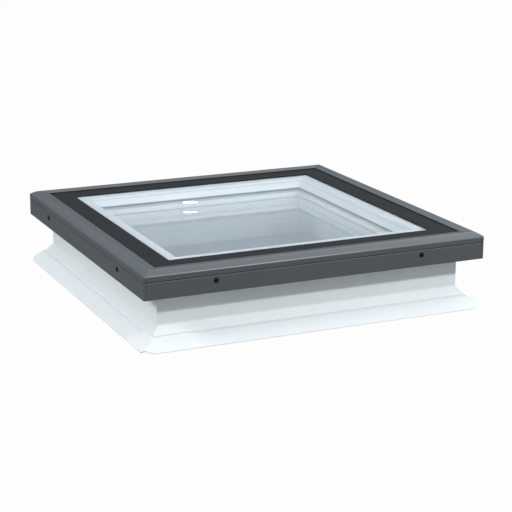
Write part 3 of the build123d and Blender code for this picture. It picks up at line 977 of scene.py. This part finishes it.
@dataclass(frozen=True)
class Cover:
    """Glazed aluminium cover: four mitred profiles, pane, black border and corner keys."""

    skirt: float = 144.0
    skirt_return: float = 8.0
    shoulder: float = 207.5
    crown: float = 219.6
    crown_inset: float = 20.2
    lip_reach: float = 48.7
    lip: float = 213.9
    lip_top: float = 215.9
    ledge: float = 205.0
    ledge_reach: float = 44.0
    wall: float = 2.2
    web: float = 2.0
    chamber_end: float = 14.0
    chamber_low: float = 186.0
    chamber_high: float = 203.0
    pocket: float = 22.0
    groove: float = 191.2
    groove_half: float = 1.0
    groove_depth: float = 1.4
    groove_slope: float = 1.5
    joint: float = 6.5
    joint_gap: float = 0.7
    corner_round: float = 4.0
    corner_steps: int = 8
    cut_low: float = 120.0
    cut_high: float = 240.0
    bead: float = 36.0
    bead_end: float = 44.0
    border_start: float = 28.0
    border_end: float = 111.0
    border_low: float = 211.0
    border_top: float = 212.6

    def underside(self, inset: float, skin: float) -> float:
        """Height of the inner side of the top, under a skin of even thickness."""
        rise = (self.crown - self.shoulder) / self.crown_inset
        fall = (self.crown - self.lip_top) / (self.lip_reach - self.crown_inset)
        outer = self.shoulder + rise * inset - skin * math.hypot(1, rise)
        inner = self.crown - fall * (inset - self.crown_inset) - skin * math.hypot(1, fall)
        return min(outer, inner)

    def section(self) -> Outline:
        """Skirt with its return and groove, crowned top, lip and pane pocket."""
        floor, end = self.chamber_low - self.web, self.chamber_end + self.web
        groove_top, groove_foot = self.groove + self.groove_half, self.groove - self.groove_half
        return (
            (0, self.skirt, 0.8),
            (self.skirt_return, self.skirt, 0.6),
            (self.skirt_return, self.skirt + self.wall, 0.6),
            (self.wall, self.skirt + self.wall, 0),
            (self.wall, floor, 0),
            (end, floor, 0.4),
            (end, self.chamber_high, 0),
            (self.ledge_reach, self.chamber_high, 0.4),
            (self.ledge_reach, self.ledge, 0.4),
            (self.pocket, self.ledge, 0),
            (self.pocket, self.underside(self.pocket, self.web), 0),
            (self.bead, self.underside(self.bead, self.web), 0),
            (self.bead, self.lip, 0),
            (self.lip_reach, self.lip, 0.4),
            (self.lip_reach, self.lip_top, 0.8),
            (self.crown_inset, self.crown, 20),
            (0, self.shoulder, 7),
            (0, groove_top, 0.3),
            (self.groove_depth, groove_top, 0),
            (self.groove_depth, groove_foot, 0),
            (0, groove_foot - self.groove_slope, 0.3),
        )

    def chambers(self) -> tuple[Outline, Outline]:
        """The key chamber and the hollow outside the pane's edge."""
        inner = self.pocket - self.web
        rise = (self.crown - self.shoulder) / self.crown_inset
        bridge = self.shoulder + rise * self.wall - self.wall * math.hypot(1, rise)
        key = (
            (self.wall, self.chamber_low, 0),
            (self.chamber_end, self.chamber_low, 0),
            (self.chamber_end, self.chamber_high, 0),
            (self.wall, self.chamber_high, 0),
        )
        edge = (
            (self.wall, self.ledge, 0),
            (inner, self.ledge, 0),
            (inner, self.underside(inner, self.wall), 0),
            (self.wall, min(bridge, self.underside(self.wall, self.wall)), 0),
        )
        return key, edge

    def rounders(self) -> Piece:
        """What is cut off to round the upright edges of the corners."""
        size, low = self.corner_round, self.cut_low
        plan = [(size, 0), (size, -PAST), (-PAST, -PAST), (-PAST, size), (0, size), (0, 0)]
        tool = Bench.draw("rounders", [Vector((x - HALF, y - HALF, low)) for x, y in plan])
        Bench.round_at(Vector((-HALF, -HALF, low)), size, self.corner_steps)
        Bench.weld()
        Bench.everything()
        Bench.pull(z=self.cut_high - low)
        Bench.all_round()
        Bench.close(tool)
        return tool

    def joint_plan(self, wraps: bool) -> list[Plan]:
        """Plan of one profile at the front: its ends wrap or stop at the corner joint.

        Args:
            wraps: Whether this profile goes round the corner.

        Returns:
            The plan's corners.
        """
        depth, joint, gap = self.lip_reach + PAST / 2, self.joint, self.joint_gap
        if wraps:
            end = [(-PAST, -PAST), (-PAST, joint), (joint, joint), (depth, depth)]
        else:
            end = [(joint + gap, -PAST), (joint + gap, joint), (depth + gap, depth)]
        right = [(HALF - x, y - HALF) for x, y in end]
        return right + [(-x, y) for x, y in reversed(right)]

    def profiles(self, shop: Workshop) -> None:
        """Make the four profiles from one mitred ring.

        Args:
            shop: Where they are dressed and fitted.
        """
        ring = Section(self.section()).ring("cover_ring")
        for chamber in self.chambers():
            Bench.combine(ring, Section(chamber).ring("chamber"), "DIFFERENCE")
        Bench.combine(ring, self.rounders(), "DIFFERENCE")
        for turns, name in enumerate(("front", "right", "back", "left")):
            profile = Bench.copy(ring, f"cover_{name}_detail")
            plan = self.joint_plan(wraps=turns % 2 == 1)
            tool = block("joint", plan, self.cut_low, self.cut_high)
            Bench.turn(-90 * turns)
            Bench.close(tool)
            Bench.combine(profile, tool, "INTERSECT")
            shop.fit(profile, f"cover_{name}", Finish.POWDER_COAT)
        bpy.data.objects.remove(ring)

    def border(self) -> Outline:
        """Black border on the pane, with the bead under the cover's lip."""
        return (
            (self.border_start, self.border_low, 0),
            (self.border_end, self.border_low, 0),
            (self.border_end, self.border_top, 0.8),
            (self.bead_end, self.border_top, 0.3),
            (self.bead_end, self.lip, 0),
            (self.bead, self.lip, 0),
            (self.bead, self.border_top, 0),
            (self.border_start, self.border_top, 0),
        )

    def build(self, shop: Workshop) -> None:
        """Make and dress the cover.

        Args:
            shop: Where its pieces are dressed and fitted.
        """
        self.profiles(shop)
        border = Section(self.border()).ring("border_gasket_detail")
        shop.fit(border, "border_gasket", Finish.BORDER_BLACK)
        shop.dress_nodes(
            cover_pane=Finish.COVER_GLASS,
            pane_bond=Finish.SEALANT,
            corner_keys=Finish.RAW_ALUMINIUM,
        )


@dataclass(frozen=True)
class Fixings:
    """Cover screws with their washers, and the brackets that take them.

    Each disc has as many points round it as points says, and waist is the share of the
    recess's radius that is left at each of the points that make up one of its lobes.
    """

    station: float = 305.0
    height: float = 177.0
    points: int = 36
    head: float = 6.0
    head_height: float = 2.0
    head_round: float = 1.6
    recess: float = 2.4
    recess_depth: float = 1.1
    waist: tuple[float, ...] = (1.0, 0.95, 0.82, 0.74, 0.82, 0.95)
    shank: float = 2.5
    shank_length: float = 13.0
    washer: float = 7.25
    washer_height: float = 0.8
    washer_round: float = 0.35
    bore: float = 2.6

    def disc(self, name: str, radius: float, face: float, depth: float) -> Piece:
        """A round disc at the left front station, left in edit mode.

        Args:
            name: Name of the piece.
            radius: Its radius.
            face: Where its outer face lies in y.
            depth: How thick it is.

        Returns:
            The new piece.
        """
        bpy.ops.object.select_all(action="DESELECT")
        bpy.ops.mesh.primitive_cylinder_add(
            vertices=self.points,
            radius=radius * MM,
            depth=depth * MM,
            end_fill_type="NGON",
            location=(-self.station * MM, (face + depth / 2) * MM, self.height * MM),
            rotation=(math.pi / 2, 0, 0),
        )
        bpy.ops.object.transform_apply(location=True, rotation=True, scale=True)
        return Bench.begin(name)

    def spot(self, place: Vector) -> tuple[float, int]:
        """Distance of a place from the screw's axis, and which of a lobe's points it is."""
        x, z = place.x + self.station, place.z - self.height
        point = round(math.atan2(z, x) / math.tau * self.points)
        return math.hypot(x, z), point % len(self.waist)

    def everywhere(self, piece: Piece) -> None:
        """Copy a fastener to both stations of all four sides."""
        Bench.everything()
        bpy.ops.mesh.duplicate()
        bpy.ops.transform.translate(value=(2 * self.station * MM, 0, 0))
        Bench.all_round()
        Bench.close(piece)

    def screws(self) -> Piece:
        """Domed screws with a six-lobed drive recess."""
        seat = -HALF - self.washer_height
        face = seat - self.head_height
        piece = self.disc("cover_screws_detail", self.head, face, self.head_height)
        Bench.pick(lambda p: p.y < face + NEAR)
        Bench.bevel(self.head_round, steps=6, affect="EDGES")
        Bench.pick(lambda p: p.y < face + NEAR, faces=True)
        bpy.ops.mesh.inset(thickness=(self.head - self.head_round - self.recess) * MM)
        middle = Vector((-self.station, face, self.height)) * MM
        for point, share in enumerate(self.waist):
            Bench.pick(
                lambda p: p.y < face + NEAR
                and self.spot(p)[0] < self.head / 2
                and self.spot(p)[1] == point
            )
            bpy.ops.transform.resize(value=(share, 1, share), center_override=middle)
        Bench.pick(lambda p: p.y < face + NEAR and self.spot(p)[0] < self.recess / 2, faces=True)
        Bench.pull(y=self.recess_depth)
        Bench.pick(lambda p: p.y > seat - NEAR, faces=True)
        bpy.ops.mesh.inset(thickness=(self.head - self.shank) * MM)
        Bench.pull(y=self.shank_length)
        self.everywhere(piece)
        return piece

    def washers(self) -> Piece:
        """Bonded sealing washers with a rounded rim."""
        face = -HALF - self.washer_height
        piece = self.disc("screw_washers_detail", self.washer, face, self.washer_height)
        Bench.pick(lambda p: abs(p.y - face) < NEAR or abs(p.y + HALF) < NEAR, faces=True)
        bpy.ops.mesh.inset(thickness=(self.washer - self.bore) * MM, use_individual=True)
        bpy.ops.mesh.bridge_edge_loops()
        Bench.pick(lambda p: p.y < face + NEAR and self.spot(p)[0] > self.washer / 2)
        Bench.bevel(self.washer_round, steps=3, affect="EDGES")
        self.everywhere(piece)
        return piece

    def build(self, shop: Workshop) -> None:
        """Make and dress the fixings.

        Args:
            shop: Where they are dressed and fitted.
        """
        shop.fit(self.screws(), "cover_screws", Finish.SCREW_BLACK)
        shop.fit(self.washers(), "screw_washers", Finish.RUBBER_BLACK)
        zinc = Finish.ZINC
        shop.dress_nodes(cover_brackets=zinc, bracket_screws=zinc, bracket_nuts=zinc)


@dataclass(frozen=True)
class Viewpoint:
    """The photograph's camera, fitted to the edges of the object, in metres and radians."""

    place: Place = (-1.8026, -4.0523, 1.3117)
    azimuth: float = math.radians(-24.407)
    elevation: float = math.radians(15.529)
    roll: float = math.radians(0.167)
    lens: float = 109.3
    sensor: float = 36.0

    def build(self) -> None:
        """Make the scene's camera."""
        data = bpy.data.cameras.new("camera")
        data.lens = self.lens
        data.sensor_width = self.sensor
        camera = bpy.data.objects.new("camera", data)
        bpy.context.scene.collection.objects.link(camera)
        sin_a, cos_a = math.sin(self.azimuth), math.cos(self.azimuth)
        sin_e, cos_e = math.sin(self.elevation), math.cos(self.elevation)
        back = Vector((sin_a * cos_e, -cos_a * cos_e, sin_e))
        level = Vector((cos_a, sin_a, 0))
        rise = back.cross(level)
        right = level * math.cos(self.roll) + rise * math.sin(self.roll)
        up = rise * math.cos(self.roll) - level * math.sin(self.roll)
        turn = Matrix((right, up, back)).transposed().to_4x4()
        camera.matrix_world = Matrix.Translation(self.place) @ turn
        bpy.context.scene.camera = camera


@dataclass(frozen=True)
class Lamp:
    """A soft area lamp that points at a spot on the object, in metres and watts."""

    name: str
    place: Place
    width: float
    height: float
    power: float
    aim: Place = (0.0, 0.0, 0.1)
    shape: str = "RECTANGLE"

    def build(self) -> None:
        """Make the lamp."""
        data = bpy.data.lights.new(self.name, "AREA")
        data.shape = self.shape
        data.size = self.width
        data.size_y = self.height
        data.energy = self.power
        lamp = bpy.data.objects.new(self.name, data)
        bpy.context.scene.collection.objects.link(lamp)
        place = Vector(self.place)
        turn = (Vector(self.aim) - place).to_track_quat("-Z", "Y").to_matrix().to_4x4()
        lamp.matrix_world = Matrix.Translation(place) @ turn


@dataclass(frozen=True)
class Studio:
    """Floor, surroundings, lamps and camera, in metres.

    coat_room, by the height of a direction, and coat_right, by how far it points to the
    right, are where a change starts and ends and the shares of the room shown there.
    """

    lamps: tuple[Lamp, ...] = (
        Lamp("key", (1.5, -3.4, 2.95), 0.3, 0.25, 89.0),
        Lamp("left_fill", (-4.2, -0.4, 2.8), 1.8, 1.0, 110.0),
        Lamp("back_glint", (2.02, 5.45, 1.577), 0.1, 0.009, 0.05, shape="ELLIPSE"),
    )
    room_bands: tuple[tuple[float, Colour], ...] = (
        (0.1, (0.2, 0.22, 0.24)),
        (0.18, (0.62, 0.68, 0.73)),
        (0.24, (0.55, 0.61, 0.66)),
        (0.3, (0.38, 0.43, 0.48)),
        (0.4, (0.72, 0.76, 0.8)),
        (0.8, (1.0, 1.0, 1.0)),
    )
    white: Colour = (1.0, 1.0, 1.0)
    ambient_low: Colour = (0.05, 0.06, 0.066)
    ambient_high: Colour = (0.98, 1.03, 1.06)
    ambient_side: Place = (0.2, 0.26, 0.0)
    coat_room: tuple[float, float, float, float] = (0.3, 0.6, 0.25, 1.0)
    coat_right: tuple[float, float, float, float] = (0.36, 0.58, 1.0, 2.6)
    floor_size: float = 60.0
    floor_drop: float = 0.0005
    floor_colour: Colour = (0.36, 0.36, 0.36)
    floor_roughness: float = 0.9
    floor_glow: float = 0.98
    floor_gloss: float = 0.16
    well: float = 0.46
    well_fade: float = 0.01

    def build(self) -> None:
        """Make everything round the object."""
        self.surroundings()
        self.floor()
        for lamp in self.lamps:
            lamp.build()
        Viewpoint().build()

    @staticmethod
    def seen_directly(sheet: Wiring, gloss: float = 1.0) -> Socket:
        """1 on camera, gloss and glass rays that have not met a matt surface yet.

        Args:
            sheet: Where the nodes go.
            gloss: What gloss rays get in place of 1.

        Returns:
            The mask's socket.
        """
        path = sheet.add("LightPath").outputs
        mirrored = sheet.maths("MULTIPLY", path["Is Glossy Ray"], gloss)
        sharp = sheet.maths("MAXIMUM", mirrored, path["Is Transmission Ray"])
        seen = sheet.maths("MAXIMUM", path["Is Camera Ray"], sharp)
        fresh = sheet.maths("LESS_THAN", path["Diffuse Depth"], 0.5)
        return sheet.maths("MULTIPLY", seen, fresh)

    def room(self, sheet: Wiring, aim: Sockets) -> Socket:
        """The grey room that gloss shows: its bands, and how much of it the coats show.

        Coats show less of it low down and more of it on the right. Glass and mirrors,
        whose rays are singular, show all of it.

        Args:
            sheet: Where the nodes go.
            aim: The parts of the direction that is looked in.

        Returns:
            The room's colour.
        """
        ramp = sheet.add("ValToRGB", {"Fac": aim["Z"]})
        bands = ramp.color_ramp.elements
        own = len(bands)
        for index, (spot, colour) in enumerate(self.room_bands):
            band = bands[index] if index < own else bands.new(spot)
            band.position = spot
            band.color = (*colour, 1)
        low_down = sheet.span(aim["Z"], *self.coat_room)
        on_right = sheet.span(aim["X"], *self.coat_right)
        coats = sheet.maths("MULTIPLY", low_down, on_right)
        share = sheet.maths("MAXIMUM", sheet.add("LightPath").outputs["Is Singular Ray"], coats)
        return sheet.scale(ramp.outputs["Color"], share)

    def surroundings(self) -> None:
        """Make the world: white behind the object, a grey room in gloss, soft light else."""
        world = bpy.data.worlds.new("studio")
        bpy.context.scene.world = world
        world.use_nodes = True
        world.cycles.sampling_method = "NONE"
        sheet = Wiring(world.node_tree)
        sheet.tree.nodes.clear()
        way = sheet.add("TexCoord").outputs["Generated"]
        aim = sheet.add("SeparateXYZ", {0: way}).outputs
        camera_ray = sheet.add("LightPath").outputs["Is Camera Ray"]
        shown = sheet.blend(camera_ray, self.room(sheet, aim), self.white)
        ambient = sheet.blend(aim["Z"], self.ambient_low, self.ambient_high)
        inputs = {0: way, 1: self.ambient_side}
        side = sheet.add("VectorMath", inputs, operation="DOT_PRODUCT").outputs["Value"]
        soft = sheet.scale(ambient, sheet.maths("ADD", side, 1.0))
        colour = sheet.blend(self.seen_directly(sheet), soft, shown)
        back = sheet.add("Background", {"Color": colour, "Strength": 1.0})
        sheet.add("OutputWorld", {"Surface": back.outputs["Background"]})

    def outside_well(self, sheet: NodeSheet) -> Socket:
        """The floor's glow, which stops inside the kerb, where the floor is in its shade."""
        wide, deep, _ = sheet.from_middle()
        reach = sheet.maths("MAXIMUM", wide, deep)
        return sheet.span(reach, self.well - self.well_fade, self.well, 0.0, self.floor_glow)

    def floor(self) -> None:
        """Make the pale floor, which shows the object's shadow faintly."""
        bpy.ops.object.select_all(action="DESELECT")
        place = (0, 0, -self.floor_drop)
        bpy.ops.mesh.primitive_plane_add(size=self.floor_size, location=place)
        floor = bpy.context.object
        floor.name = "floor"
        sheet = NodeSheet("floor")
        looks = {"Base Color": (*self.floor_colour, 1), "Roughness": self.floor_roughness}
        sheet.feed(sheet.shader, looks)
        glow = sheet.add("Emission", {"Strength": self.seen_directly(sheet, self.floor_gloss)})
        share = sheet.maths("MULTIPLY", self.seen_directly(sheet), self.outside_well(sheet))
        sheet.mix_in(share, glow.outputs["Emission"])
        floor.data.materials.append(sheet.material)


def main() -> None:
    """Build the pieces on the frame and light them."""
    logging.basicConfig(level=logging.INFO, format="%(message)s")
    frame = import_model()
    shop = Workshop(frame)
    for assembly in (Kerb(), GlassUnit(), GlazingFrame(), Cover(), Fixings()):
        assembly.build(shop)
    Studio().build()
    bpy.context.scene.view_settings.view_transform = "Standard"
    bpy.context.view_layer.update()


if __name__ == "__main__":
    main()
